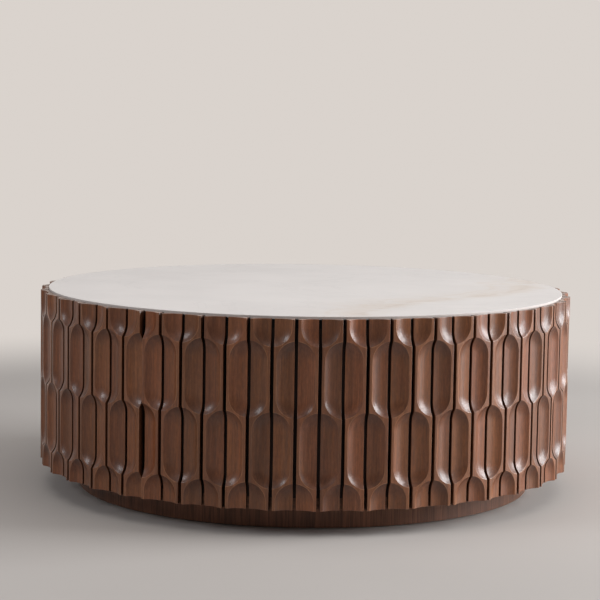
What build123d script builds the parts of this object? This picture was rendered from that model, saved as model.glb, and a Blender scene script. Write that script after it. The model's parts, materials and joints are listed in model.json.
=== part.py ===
from build123d import *

import math
import os

# Round drum table: a ring of carved slats on a hollow drum, a stone top let in inside their upper ends,
# and a recessed plinth on levelling feet. Millimetres, +Z up, the origin on the floor under the centre.
# A place round the drum is an angle from the front, -Y, positive towards +X. Each repeated piece is
# made at the front and turned to its place.

# Overall sizes
drum_radius = 550.0  # from the axis to the flat outer face of a slat
slat_height = 356.0
plinth_radius = 470.0
plinth_height = 48.0
foot_reveal = 2.0  # the plinth stands this far off the floor
stone_rise = 4.0  # the stone stands this far above the ends of the slats

# Drum layout: two half drums, each with an odd number of slats, so two of one hand meet at their joints
half_drum_count = 2
panels_per_half = 3
slats_per_panel = 13
joint_angle = -33.7

# Slats and the hollows that are cut across the gaps between them
slat_thickness = 16.0
slat_gap = 6.8
scoop_rows = 4
scoop_length = 143.0
scoop_overlap = 11.0  # a row of hollows reaches this far into the next
scoop_radius = 35.8  # of its round ends, at the face of the slat
scoop_floor_radius = 11.0  # where its flat floor ends
scoop_depth = 9.8

# Stone top and its bedding
stone_thickness = 6.0
stone_joint = 0.6  # between the stone's edge and the slats
stone_chamfer = 0.8
bedding_thickness = 1.0
bedding_radius = 15.0
bedding_ring_count = 2  # round the pad in the middle
bedding_first_ring_count = 6  # pads in the inner ring, and as many more in each ring outside it
bedding_inset = 64.0  # from the stone's edge to the middle of an outermost pad

# Drum carcass
deck_thickness = 15.0
base_thickness = 22.0
shell_thickness = 8.0
rib_thickness = 18.0
rib_hole_radius = 48.0
rib_hole_count = 3
post_half_width = 60.0  # from the axis to a flat side of the six-sided post
post_bore_radius = 28.0
former_width = 60.0
former_thickness = 18.0

# Plinth
plinth_panel_count = 4
plinth_thickness = 15.0
rail_thickness = 18.0
rail_height = 36.0
block_screw_spread = 38.0  # each side of the foot
foot_block_side = 22.0  # from those screws to the sides of the block
foot_block_back = 44.0  # from the foot to the side of the block that faces the axis

# Levelling feet
foot_inset = 40.0  # from the inner face of the plinth to the axis of a foot
foot_travel = 8.0
pad_radius = 19.0
pad_thickness = 5.0
pad_chamfer = 1.2
pad_boss_radius = 9.0
pad_boss_height = 2.5
pad_socket_depth = 5.0
stud_radius = 4.0
spigot_radius = 5.0
collar_height = 6.3
collar_half_width = 6.5  # from its axis to a flat side of the six-sided collar
nut_flange_radius = 11.0
nut_flange_thickness = 1.6
nut_barrel_radius = 5.5
nut_barrel_height = 11.0
stud_spare = 7.0  # what is left of the stud above the nut when the foot is run right out

# Fasteners
board_screw_length = 45.0  # deck and base screws
board_screw_radius = 2.0
board_screw_head_radius = 4.0
board_screws_per_rib = 3
board_screw_inset = 50.0  # from each end of a rib
plinth_screw_head_height = 3.0
plinth_screw_seat = 26.0  # from the screw's head to the base panel
plinth_screw_bite = 17.0  # into the base panel
slat_screw_length = 12.5
slat_screw_radius = 1.5
slat_screw_head_radius = 3.0
slat_screw_head_height = 2.0
slat_screw_inset = 62.0  # from each end of a slat

# Clearances
glue_line = 0.2  # between curved or notched glued faces
panel_joint = 0.4  # between the ends of two curved panels
screw_play = 0.05  # round the shank of a screw, stud or spigot
head_play = 0.6  # round the head of a plinth screw in its well
foot_play = 0.3  # between the faces of a foot that turn past each other
cut_margin = 5.0  # a cutting tool reaches this far past what it cuts

# Worked out from the above
panel_count = half_drum_count * panels_per_half
panel_span = 360.0 / panel_count
slat_pitch = panel_span / slats_per_panel
slat_width = 2.0 * drum_radius * math.tan(math.radians(slat_pitch / 2.0)) - slat_gap
row_pitch = scoop_length - scoop_overlap
core_radius = drum_radius - slat_thickness
shell_inner_radius = core_radius - shell_thickness
plinth_inner_radius = plinth_radius - plinth_thickness
rib_end_radius = shell_inner_radius - glue_line
foot_radius = plinth_inner_radius - foot_inset

plinth_top = foot_reveal + plinth_height
slat_middle = plinth_top + slat_height / 2.0
slat_top = plinth_top + slat_height
stone_top_level = slat_top + stone_rise
stone_bottom = stone_top_level - stone_thickness
deck_top = stone_bottom - bedding_thickness
deck_bottom = deck_top - deck_thickness
base_top = plinth_top + base_thickness
carcass_height = deck_bottom - base_top
carcass_middle = (deck_bottom + base_top) / 2.0

pad_top = pad_thickness + pad_boss_height
collar_bottom = pad_top + foot_play
collar_top = collar_bottom + collar_height
nut_flange_bottom = collar_top + foot_play
foot_block_bottom = nut_flange_bottom + nut_flange_thickness
stud_top = foot_block_bottom + nut_barrel_height + foot_travel + stud_spare
plinth_screw_head_level = plinth_top - plinth_screw_seat


def spin(shape, angle):
    """The shape, made at the front, at its place round the drum."""
    return Rot(0, 0, angle) * shape


def upright(radius, bottom, top):
    """A solid upright round bar on the axis of the table, between two levels."""
    return Pos(0, 0, (bottom + top) / 2.0) * Cylinder(radius, top - bottom)


def tube(outer, inner, bottom, top):
    return upright(outer, bottom, top) - upright(inner, bottom - cut_margin, top + cut_margin)


def radial_bar(radius, start, end, level):
    """A round bar at the front that lies along the radius, from one distance from the axis to another."""
    return Pos(0, -(start + end) / 2.0, level) * Rot(90, 0, 0) * Cylinder(radius, end - start)


def six_sided(half_width, bottom, top):
    """A six-sided upright bar with one flat side towards the front."""
    outline = RegularPolygon(half_width, 6, major_radius=False)
    return Pos(0, 0, bottom) * extrude(outline, top - bottom)


def write(name, solids):
    """Writes one sub-part, which may be a group of separate solids."""
    pieces = [solid for shape in solids for solid in shape.solids()]
    shape = pieces[0] if len(pieces) == 1 else Compound(pieces)
    shape.label = name
    export_step(shape, f"parts/{name}.step")


def panel_start(panel):
    return joint_angle + panel * panel_span


def rib_angles():
    return [panel_start(panel) for panel in range(panel_count)]


def spread(first, last, count):
    """Evenly spaced values from first to last."""
    return [first + (last - first) * i / (count - 1) for i in range(count)]


# Slats


def scoop_cutter():
    """What a dish-shaped cutter takes out along one hollow of a slat whose face is at y = 0."""
    run = scoop_radius - scoop_floor_radius
    side_radius = (run**2 + scoop_depth**2) / (2.0 * scoop_depth)
    side_angle = math.asin(run / side_radius) / 2.0
    side_middle = (
        scoop_floor_radius + side_radius * math.sin(side_angle),
        scoop_depth - side_radius * (1.0 - math.cos(side_angle)),
    )
    rim = Polyline(
        (scoop_floor_radius, scoop_depth),
        (0, scoop_depth),
        (0, -cut_margin),
        (scoop_radius, -cut_margin),
        (scoop_radius, 0),
    )
    side = ThreePointArc((scoop_radius, 0), side_middle, (scoop_floor_radius, scoop_depth))
    half_section = make_face([rim, side])
    straight = scoop_length - 2.0 * scoop_radius
    trough = extrude(half_section + mirror(half_section, Plane.YZ), straight / 2.0, both=True)
    end = revolve(half_section, Axis.Y)
    return trough + Pos(0, 0, straight / 2.0) * end + Pos(0, 0, -straight / 2.0) * end


def slat_screw_levels():
    return (plinth_top + slat_screw_inset, slat_top - slat_screw_inset)


def make_slat(top_scoop_side):
    """A slat at the front. Its uppermost hollow is on its left edge at -1 and on its right edge at +1."""
    blank = Box(slat_width, slat_thickness, slat_height)
    slat = Pos(0, -core_radius - slat_thickness / 2.0, slat_middle) * blank
    cutter = scoop_cutter()
    for row in range(scoop_rows):
        side = top_scoop_side if row % 2 == 0 else -top_scoop_side
        gap_middle = side * (slat_width + slat_gap) / 2.0
        level = slat_middle + ((scoop_rows - 1) / 2.0 - row) * row_pitch
        slat -= Pos(gap_middle, -drum_radius, level) * cutter
    screw_tip = shell_inner_radius + slat_screw_length + screw_play
    for level in slat_screw_levels():
        slat -= radial_bar(slat_screw_radius + screw_play, core_radius - cut_margin, screw_tip, level)
    return slat


def slat_angle(panel, position):
    return panel_start(panel) + (position + 0.5) * slat_pitch


def slat_hand(panel, position):
    """The hands alternate within a half drum, and each half drum starts with a left-hand slat."""
    place_in_half = (panel % panels_per_half) * slats_per_panel + position
    return "left" if place_in_half % 2 == 0 else "right"


def write_slats():
    slats = {"left": make_slat(-1), "right": make_slat(1)}
    for panel in range(panel_count):
        for hand, slat in slats.items():
            places = [p for p in range(slats_per_panel) if slat_hand(panel, p) == hand]
            group = [spin(slat, slat_angle(panel, p)) for p in places]
            write(f"{hand}_hand_slats_{panel + 1}", group)


# Drum carcass


def curved_panel(outer, inner, bottom, top, span, end_space):
    """A piece of a tube that starts at the front and runs round by span, less end_space at each end."""
    height = top - bottom
    middle = (top + bottom) / 2.0
    reach = 2.0 * outer
    offset = reach / 2.0 + end_space
    after_start = Pos(offset, 0, middle) * Box(reach, 2.0 * reach, height)
    before_end = Pos(-offset, 0, middle) * Box(reach, 2.0 * reach, height)
    return tube(outer, inner, bottom, top) & after_start & spin(before_end, span)


def make_shell_panel():
    end_space = panel_joint / 2.0
    panel = curved_panel(core_radius, shell_inner_radius, base_top, deck_bottom, panel_span, end_space)
    hole_radius = slat_screw_radius + screw_play
    for level in slat_screw_levels():
        hole = radial_bar(hole_radius, shell_inner_radius - cut_margin, core_radius + cut_margin, level)
        for position in range(slats_per_panel):
            panel -= spin(hole, (position + 0.5) * slat_pitch)
    return panel


def board_screw_places():
    """How far from the axis the deck and base screws go into each rib."""
    first = post_half_width + board_screw_inset
    last = rib_end_radius - board_screw_inset
    return spread(first, last, board_screws_per_rib)


def make_rib():
    """A radial rib at the front, from the post to the shell."""
    length = rib_end_radius - post_half_width
    middle = post_half_width + length / 2.0
    rib = Pos(0, -middle, carcass_middle) * Box(rib_thickness, length, carcass_height)
    former_inner_radius = shell_inner_radius - former_width
    bay = (former_inner_radius - post_half_width) / rib_hole_count
    for i in range(rib_hole_count):
        place = post_half_width + (i + 0.5) * bay
        hole = Rot(0, 90, 0) * Cylinder(rib_hole_radius, rib_thickness + cut_margin)
        rib -= Pos(0, -place, carcass_middle) * hole
    hole = board_screw(screw_play)
    for place in board_screw_places():
        rib -= Pos(0, -place, 0) * in_deck(hole)
        rib -= Pos(0, -place, 0) * in_base(hole)
    return rib


def make_former():
    """The curved former between the rib at the front and the next one, at half height."""
    bottom = carcass_middle - former_thickness / 2.0
    return curved_panel(
        shell_inner_radius - glue_line,
        shell_inner_radius - former_width,
        bottom,
        bottom + former_thickness,
        panel_span,
        rib_thickness / 2.0 + glue_line,
    )


def make_post():
    return six_sided(post_half_width, base_top, deck_bottom) - upright(
        post_bore_radius, base_top - cut_margin, deck_bottom + cut_margin
    )


def countersunk_screw(length, radius, head_radius):
    """A countersunk screw that points down, with the flat of its head at z = 0."""
    head_height = head_radius - radius
    head = Pos(0, 0, -head_height / 2.0) * Cone(radius, head_radius, head_height)
    return head + upright(radius, -length, -head_height / 2.0)


def board_screw(play=0.0):
    """A deck or base screw or, with some play, the hole for one."""
    length = board_screw_length + play
    return countersunk_screw(length, board_screw_radius + play, board_screw_head_radius + play)


def in_deck(shape):
    return Pos(0, 0, deck_top) * shape


def in_base(shape):
    """The shape turned over, in the underside of the base panel."""
    return Pos(0, 0, plinth_top) * Rot(180, 0, 0) * shape


def at_board_screws(shape):
    """The shape at each place where a deck or base screw goes into a rib."""
    line = [Pos(0, -place, 0) * shape for place in board_screw_places()]
    return [spin(piece, angle) for angle in rib_angles() for piece in line]


def make_deck():
    deck = upright(core_radius, deck_bottom, deck_top)
    return deck - at_board_screws(in_deck(board_screw(screw_play)))


def make_base():
    base = upright(core_radius, plinth_top, base_top)
    base -= at_board_screws(in_base(board_screw(screw_play)))
    return base - at_plinth_screws(plinth_screw_pilot())


def make_slat_screw(level):
    seat = shell_inner_radius - screw_play
    head = radial_bar(slat_screw_head_radius, seat - slat_screw_head_height, seat, level)
    shank = radial_bar(slat_screw_radius, seat, seat + slat_screw_length, level)
    return head + shank


def write_slat_screws(panel):
    screws = [make_slat_screw(level) for level in slat_screw_levels()]
    angles = [slat_angle(panel, position) for position in range(slats_per_panel)]
    write(f"slat_screws_{panel + 1}", [spin(screw, angle) for angle in angles for screw in screws])


def write_carcass():
    shell_panel = make_shell_panel()
    rib = make_rib()
    former = make_former()
    for panel, angle in enumerate(rib_angles()):
        write(f"shell_panel_{panel + 1}", [spin(shell_panel, angle)])
        write(f"rib_{panel + 1}", [spin(rib, angle)])
        write_slat_screws(panel)
    write("mid_formers", [spin(former, angle) for angle in rib_angles()])
    write("centre_post", [spin(make_post(), joint_angle)])
    write("top_deck", [make_deck()])
    write("base_panel", [make_base()])
    write("deck_screws", at_board_screws(in_deck(board_screw())))
    write("base_screws", at_board_screws(in_base(board_screw())))


# Stone top


def write_top():
    stone = upright(core_radius - stone_joint, stone_bottom, stone_top_level)
    stone = chamfer(stone.edges().group_by(Axis.Z)[-1], stone_chamfer)
    write("stone_top", [stone])
    pad = upright(bedding_radius, deck_top, stone_bottom)
    pads = [pad]
    ring_space = (core_radius - stone_joint - bedding_inset) / bedding_ring_count
    for ring in range(1, bedding_ring_count + 1):
        count = ring * bedding_first_ring_count
        for i in range(count):
            angle = joint_angle + (i + 0.5) * 360.0 / count
            pads.append(spin(Pos(0, -ring * ring_space, 0) * pad, angle))
    write("bedding_pads", pads)


# Plinth


def foot_angles():
    """The joints of the plinth panels, where the foot blocks and the feet are."""
    span = 360.0 / plinth_panel_count
    return [joint_angle + (i + 0.5) * span for i in range(plinth_panel_count)]


def rail_angles():
    return (joint_angle, joint_angle + 90.0)


def plinth_screw():
    """A plinth screw that points up, through a block or rail and into the base panel."""
    head_bottom = plinth_screw_head_level - plinth_screw_head_height
    head = upright(board_screw_head_radius, head_bottom, plinth_screw_head_level)
    return head + upright(board_screw_radius, plinth_screw_head_level, plinth_top + plinth_screw_bite)


def plinth_screw_hole():
    """The stepped hole for a plinth screw in a block or rail, open at the bottom."""
    well = upright(board_screw_head_radius + head_play, -cut_margin, plinth_screw_head_level)
    return well + upright(board_screw_radius + screw_play, plinth_screw_head_level, plinth_top + cut_margin)


def plinth_screw_pilot():
    tip = plinth_top + plinth_screw_bite + screw_play
    return upright(board_screw_radius + screw_play, plinth_top - cut_margin, tip)


def in_block_screws(shape):
    """The shape on each side of the foot, at the front."""
    return [Pos(side * block_screw_spread, -foot_radius, 0) * shape for side in (-1, 1)]


def rail_screw_places():
    """How far from the axis the screws go through a rail, halfway between the screws into the ribs."""
    in_rib = board_screw_places()
    return [(near + far) / 2.0 for near, far in zip(in_rib, in_rib[1:])]


def in_rail_screws(shape):
    """The shape at each screw of a rail that runs from the front to the back."""
    return [Pos(0, end * place, 0) * shape for end in (-1, 1) for place in rail_screw_places()]


def at_plinth_screws(shape):
    in_blocks = [spin(piece, angle) for angle in foot_angles() for piece in in_block_screws(shape)]
    in_rails = [spin(piece, angle) for angle in rail_angles() for piece in in_rail_screws(shape)]
    return in_blocks + in_rails


def make_plinth_panel():
    span = 360.0 / plinth_panel_count
    end_space = panel_joint / 2.0
    return curved_panel(plinth_radius, plinth_inner_radius, foot_reveal, plinth_top, span, end_space)


def make_foot_block():
    width = 2.0 * (block_screw_spread + foot_block_side)
    depth = foot_inset + foot_block_back
    middle = (plinth_top + foot_block_bottom) / 2.0
    blank = Box(width, depth, plinth_top - foot_block_bottom)
    block = Pos(0, -plinth_inner_radius + depth / 2.0, middle) * blank
    block &= upright(plinth_inner_radius - glue_line, foot_block_bottom, plinth_top)
    bore = upright(nut_barrel_radius + screw_play, foot_block_bottom - cut_margin, plinth_top + cut_margin)
    return block - Pos(0, -foot_radius, 0) * bore - in_block_screws(plinth_screw_hole())


def make_rail(notch_at_top):
    """A rail from the front to the back of the plinth, notched half through where the other one crosses."""
    half_length = math.sqrt((plinth_inner_radius - glue_line) ** 2 - (rail_thickness / 2.0) ** 2)
    middle = plinth_top - rail_height / 2.0
    rail = Pos(0, 0, middle) * Box(rail_thickness, 2.0 * half_length, rail_height)
    notch_width = rail_thickness + 2.0 * glue_line
    notch_height = rail_height / 2.0 + glue_line / 2.0
    if notch_at_top:
        notch_middle = plinth_top - notch_height / 2.0
    else:
        notch_middle = plinth_top - rail_height + notch_height / 2.0
    rail -= Pos(0, 0, notch_middle) * Box(notch_width, notch_width, notch_height)
    return rail - in_rail_screws(plinth_screw_hole())


def make_foot_nut():
    barrel_top = foot_block_bottom + nut_barrel_height
    flange = upright(nut_flange_radius, nut_flange_bottom, foot_block_bottom)
    barrel = upright(nut_barrel_radius, foot_block_bottom, barrel_top)
    bore = upright(stud_radius + screw_play, nut_flange_bottom - cut_margin, barrel_top + cut_margin)
    return Pos(0, -foot_radius, 0) * (flange + barrel - bore)


def make_foot_pad():
    plate = upright(pad_radius, 0, pad_thickness)
    plate = chamfer(plate.edges().group_by(Axis.Z)[-1], pad_chamfer)
    boss = upright(pad_boss_radius, pad_thickness, pad_top)
    socket = upright(spigot_radius + screw_play, pad_top - pad_socket_depth, pad_top + cut_margin)
    return Pos(0, -foot_radius, 0) * (plate + boss - socket)


def make_foot_stud():
    spigot = upright(spigot_radius, pad_top - pad_socket_depth + screw_play, collar_bottom)
    collar = six_sided(collar_half_width, collar_bottom, collar_top)
    shank = upright(stud_radius, collar_top, stud_top)
    return Pos(0, -foot_radius, 0) * (spigot + collar + shank)


def write_plinth():
    panel = make_plinth_panel()
    block = make_foot_block()
    pad = make_foot_pad()
    stud = make_foot_stud()
    for number, angle in enumerate(foot_angles(), start=1):
        write(f"plinth_panel_{number}", [spin(panel, angle)])
        write(f"foot_block_{number}", [spin(block, angle)])
        write(f"foot_pad_{number}", [spin(pad, angle)])
        write(f"foot_stud_{number}", [spin(stud, angle)])
    lower_rail, upper_rail = rail_angles()
    write("plinth_rail_long", [spin(make_rail(notch_at_top=True), lower_rail)])
    write("plinth_rail_cross", [spin(make_rail(notch_at_top=False), upper_rail)])
    write("plinth_screws", at_plinth_screws(plinth_screw()))
    write("foot_nuts", [spin(make_foot_nut(), angle) for angle in foot_angles()])


os.makedirs("parts", exist_ok=True)
write_slats()
write_carcass()
write_top()
write_plinth()
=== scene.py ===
import json
import math

import bmesh
import bpy
from bpy.props import FloatProperty, FloatVectorProperty, IntProperty, PointerProperty
from mathutils import Matrix, Vector


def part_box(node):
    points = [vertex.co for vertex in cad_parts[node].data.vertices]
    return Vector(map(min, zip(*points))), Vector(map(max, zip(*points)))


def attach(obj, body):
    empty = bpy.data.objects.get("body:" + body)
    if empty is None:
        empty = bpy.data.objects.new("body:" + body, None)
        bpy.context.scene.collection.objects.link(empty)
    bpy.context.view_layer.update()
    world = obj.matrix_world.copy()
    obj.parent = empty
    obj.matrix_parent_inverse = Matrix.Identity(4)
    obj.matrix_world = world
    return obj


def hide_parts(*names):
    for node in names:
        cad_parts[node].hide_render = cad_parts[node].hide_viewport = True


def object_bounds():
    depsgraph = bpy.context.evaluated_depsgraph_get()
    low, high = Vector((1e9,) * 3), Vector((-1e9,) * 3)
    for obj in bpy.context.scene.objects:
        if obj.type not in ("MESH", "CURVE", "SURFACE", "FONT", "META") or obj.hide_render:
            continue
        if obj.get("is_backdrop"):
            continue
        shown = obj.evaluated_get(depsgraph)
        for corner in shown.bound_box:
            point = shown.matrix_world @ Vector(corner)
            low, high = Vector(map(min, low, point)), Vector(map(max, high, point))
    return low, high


bl_info = {
    "name": "Round drum table",
    "version": (1, 0, 0),
    "blender": (4, 5, 0),
    "location": "View3D > Sidebar > Drum table",
    "description": "Finishes a round table of carved slats with a stone top, round its CAD frame",
    "category": "Add Mesh",
}

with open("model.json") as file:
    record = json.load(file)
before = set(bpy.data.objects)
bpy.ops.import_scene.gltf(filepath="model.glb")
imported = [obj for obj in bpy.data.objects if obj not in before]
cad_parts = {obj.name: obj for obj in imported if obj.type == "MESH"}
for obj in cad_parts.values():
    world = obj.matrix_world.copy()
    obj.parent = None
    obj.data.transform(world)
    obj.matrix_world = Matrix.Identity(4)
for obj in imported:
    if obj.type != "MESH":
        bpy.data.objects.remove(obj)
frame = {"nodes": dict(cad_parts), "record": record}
cad_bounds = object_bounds()

TABLE_BODY = "table"
HALF_COUNT = 2
PANEL_COUNT = 6
FOOT_COUNT = 4
VERTEX_GRID = 1e7  # steps in a metre: corners in the same step are one vertex
MERGE_DISTANCE = 1e-6

# A slat: its rows of hollows, the steps of a hollow's side, rim and round end, and its edges
ROW_COUNT = 4
SIDE_STEPS = 7
RIM_STEPS = 3
END_STEPS = 9
ARRIS_MIDDLE = 1.0 - math.sqrt(0.5)  # how far the middle of a quarter round stands in from its corner
SUPPORT = 0.6  # width of the narrow band beside an edge that keeps it crisp, in arrises
END_SUPPORT = 2.0  # the same at a slat's end, in end arrises
LOWER_SOAK_AND_SHADE = 0.55  # a hollow's lower end takes this share of its upper end's darkening: end grain soaks up stain at both ends, and painted shade darkens the upper end, which faces down

# Steps round the stone slab, and how far in from its edges its flat faces begin, in arrises
STONE_STEPS = 288
LOWER_EDGE_STEPS = 3
UPPER_EDGE_STEPS = 5
LOWER_FLAT = 4.0
UPPER_FLAT = 2.0

# Steps round a screw, and its shape
HEAD_STEPS = 24
CROSS_SIDES = 12
HEAD_EASE = 0.0001  # at the rim of a countersunk head
PAN_HEAD = ((0.72, 0.0), (0.90, 0.12), (0.98, 0.32), (1.0, 0.6), (1.0, 1.0))  # shares of radius and height
TIP_LENGTH = 2.0  # in shank radii
TIP_RADIUS = 0.2  # in shank radii
RECESS_FLOOR = 0.55  # size of a cross recess at its bottom

# Steps round a stud, and its shape
STUD_STEPS = 48
THREAD_STEPS = 6  # along the stud in one pitch
NECK = 0.6  # from the collar to where the thread is full, in pitches
TIP_DEPTH = 1.2  # in thread depths
THREAD_FLAT = 0.125  # how much of the way between a crest and a root is flat at each of them
SPIGOT_EASE = 0.06  # in spigot radii
COLLAR_FACE = 0.96  # radius of the collar's flat ends, in half widths
CHAMFER = math.tan(math.radians(30.0))
SHARP_ANGLE = math.radians(35.0)

# Sizes and colours that a user would change


def metres(name, description, default):
    return FloatProperty(name=name, description=description, default=default, unit="LENGTH")


def shade(name, description, default):
    return FloatVectorProperty(
        name=name, description=description, default=default, subtype="COLOR", min=0.0, max=1.0
    )


class SlatSettings(bpy.types.PropertyGroup):
    slats_per_half: IntProperty(
        name="Slats in a half", description="Slats round one half of the drum", default=39, min=3
    )
    thickness: metres("Thickness", "Thickness of a slat", 0.016)
    gap: metres("Gap", "Space between two slats at their faces", 0.0068)
    hollow_length: metres("Hollow length", "Length of a carved hollow", 0.143)
    hollow_overlap: metres("Hollow overlap", "How far a row of hollows reaches into the next row", 0.011)
    hollow_radius: metres("Hollow radius", "Radius of a hollow's round ends", 0.0358)
    floor_radius: metres("Floor radius", "Half the width of a hollow's flat floor", 0.011)
    hollow_depth: metres("Hollow depth", "Depth of a hollow", 0.0098)
    rim_radius: metres("Rim radius", "Rounding of a hollow's rim", 0.0015)
    arris: metres("Arris", "Rounding of the long edges of a slat", 0.0006)
    end_arris: metres("End arris", "Rounding of the ends of a slat", 0.0004)
    seed: IntProperty(name="Seed", description="Chooses the tone and grain of each slat", default=7)


class ColourSettings(bpy.types.PropertyGroup):
    walnut: shade("Walnut", "Colour of the carved slats", (0.218, 0.0695, 0.0228))
    ridge: shade("Ridge", "Colour of the uncut wood along the rims, less stained", (0.212, 0.080, 0.036))
    # Darkens the hollows' ends: stain that the end grain soaks up, and painted shade at the upper ends,
    # which face down
    soak_and_shade: shade(
        "Soaked grain and shade", "Colour of the hollows' ends, which drink the stain and take painted shade", (0.085, 0.028, 0.014)
    )
    # Rims turn lighter: stain sanded thin, and a painted glint where the rounded rims catch the light
    worn_and_glint: shade("Worn rims and glint", "Colour of the rims, where the stain is sanded thin, with a painted glint", (0.42, 0.19, 0.085))
    plinth: shade("Plinth", "Colour of the plinth's veneer", (0.188, 0.074, 0.037))
    stone: shade("Stone", "Colour of the stone top", (0.735, 0.688, 0.660))
    # Painted shade on the stone's side and underside
    stone_edge_shade: shade("Stone edge shade", "Colour of the stone's edge and underside, a painted shade", (0.62, 0.555, 0.52))
    vein: shade("Vein", "Colour of the dark middle of the stone's vein", (0.44, 0.345, 0.27))
    vein_tint: shade("Vein's tint", "Colour of the soft band along the stone's vein", (0.665, 0.575, 0.500))
    floor: shade("Floor", "Colour of the floor", (0.515, 0.475, 0.445))
    backdrop: shade("Backdrop", "Colour of the far floor and of what is behind it", (0.70, 0.65, 0.61))


class StoneSettings(bpy.types.PropertyGroup):
    arris: metres("Arris", "Rounding of the stone's upper edge", 0.0006)
    lower_arris: metres("Lower arris", "Rounding of the stone's lower edge", 0.0004)


class FootSettings(bpy.types.PropertyGroup):
    play: metres("Play", "Space between the foot's pad and the stud's collar", 0.0003)
    collar_height: metres("Collar height", "Height of the six-sided collar", 0.0063)
    collar_half_width: metres("Collar half width", "From the stud's axis to a flat of its collar", 0.0065)
    spigot_radius: metres("Spigot radius", "Radius of the stud's end in the pad", 0.005)
    stud_radius: metres("Stud radius", "Radius over the crests of the thread", 0.004)
    thread_pitch: metres("Thread pitch", "How far a foot moves in one turn", 0.00125)
    thread_depth: metres("Thread depth", "Depth of the stud's thread", 0.00065)


class ScrewSettings(bpy.types.PropertyGroup):
    head_radius: metres("Head radius", "Radius of a screw's head", 0.004)
    shank_radius: metres("Shank radius", "Radius of a screw's shank", 0.002)
    pan_height: metres("Pan height", "Height of a plinth screw's head", 0.003)
    recess_length: metres("Recess length", "Half the length of the cross in a head", 0.0023)
    recess_width: metres("Recess width", "Half the width of the cross in a head", 0.00055)
    recess_depth: metres("Recess depth", "Depth of the cross in a head", 0.0016)
    seed: IntProperty(name="Seed", description="Chooses how far each screw is turned", default=3)


# Meshes


class Surface:
    """Faces given by their corners. Corners at one place are one vertex, which has a value of each name."""

    def __init__(self, value_names=()):
        self.value_names = value_names
        self.places = []
        self.values = []
        self.faces = []
        self.known = {}

    def vertex(self, place, values=()):
        key = tuple(round(number * VERTEX_GRID) for number in place)
        if key not in self.known:
            self.known[key] = len(self.places)
            self.places.append(place)
            self.values.append(values)
        return self.known[key]

    def face(self, corners):
        """A face of vertices, unless it has shrunk to a line or a point."""
        kept = [c for i, c in enumerate(corners) if c != corners[i - 1]]
        if len(kept) > 2:
            self.faces.append(kept)

    def strip(self, first, second, closed=False):
        """Faces between two rows of as many vertices each."""
        for i in range(0 if closed else 1, len(first)):
            self.face([first[i - 1], first[i], second[i], second[i - 1]])

    def strips(self, rows, closed=False):
        for first, second in zip(rows, rows[1:]):
            self.strip(first, second, closed)

    def mesh(self, name, sharp_angle=None):
        """The mesh, smooth all over, or only where its faces meet at less than the sharp angle."""
        made = bpy.data.meshes.new(name)
        made.from_pydata(self.places, [], self.faces)
        for i, value_name in enumerate(self.value_names):
            attribute = made.attributes.new(value_name, "FLOAT", "POINT")
            attribute.data.foreach_set("value", [values[i] for values in self.values])
        editable = bmesh.new()
        editable.from_mesh(made)
        bmesh.ops.recalc_face_normals(editable, faces=editable.faces)
        bmesh.ops.triangulate(editable, faces=[f for f in editable.faces if len(f.verts) > 4])
        for face in editable.faces:
            face.smooth = True
        editable.to_mesh(made)
        editable.free()
        if sharp_angle:
            made.set_sharp_from_angle(angle=sharp_angle)
        return made


def new_piece(name, mesh, material=None):
    piece = bpy.data.objects.new(name, mesh)
    bpy.context.scene.collection.objects.link(piece)
    if material:
        mesh.materials.append(material)
    return piece


def inset(outline, amount):
    """A closed outline moved inwards, its corners mitred. Its inside is on the right as it runs."""
    moved = []
    for i, here in enumerate(outline):
        before = (Vector(here) - Vector(outline[i - 1])).normalized()
        after = (Vector(outline[(i + 1) % len(outline)]) - Vector(here)).normalized()
        first = Vector((before.y, -before.x))
        second = Vector((after.y, -after.x))
        moved.append(Vector(here) + (first + second) * (amount / (1.0 + first.dot(second))))
    return [tuple(point) for point in moved]


def turns(steps):
    """Evenly spaced angles once round."""
    return [2.0 * math.pi * i / steps for i in range(steps)]


def circle(radius, height, steps):
    return [(radius * math.cos(a), radius * math.sin(a), height) for a in turns(steps)]


def add_rings(surface, profile, steps):
    """Rings of vertices round the axis at (radius, height) points, joined by faces."""
    rings = [[surface.vertex(place) for place in circle(*point, steps)] for point in profile]
    surface.strips(rings, closed=True)


def quarter_round(radius, steps):
    """(inwards, upwards) from the start of a rounded lower edge to its end."""
    angles = [math.pi / 2.0 * i / steps for i in range(steps + 1)]
    return [(radius * (1.0 - math.sin(a)), radius * (1.0 - math.cos(a))) for a in angles]


# Carved slats


def node_radius(node):
    low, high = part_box(node)
    return (high.x - low.x) / 2.0


def place_angle(place):
    """The angle of a place round the drum, from the front towards +X."""
    return math.atan2(place[0], -place[1])


def seam_angle():
    """The seam between the half drums is half a plinth panel before the first foot."""
    foot = next(m for m in frame["record"]["mounts"] if m["name"] == "foot_1")
    return place_angle(foot["pos_m"]) - math.pi / FOOT_COUNT


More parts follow.
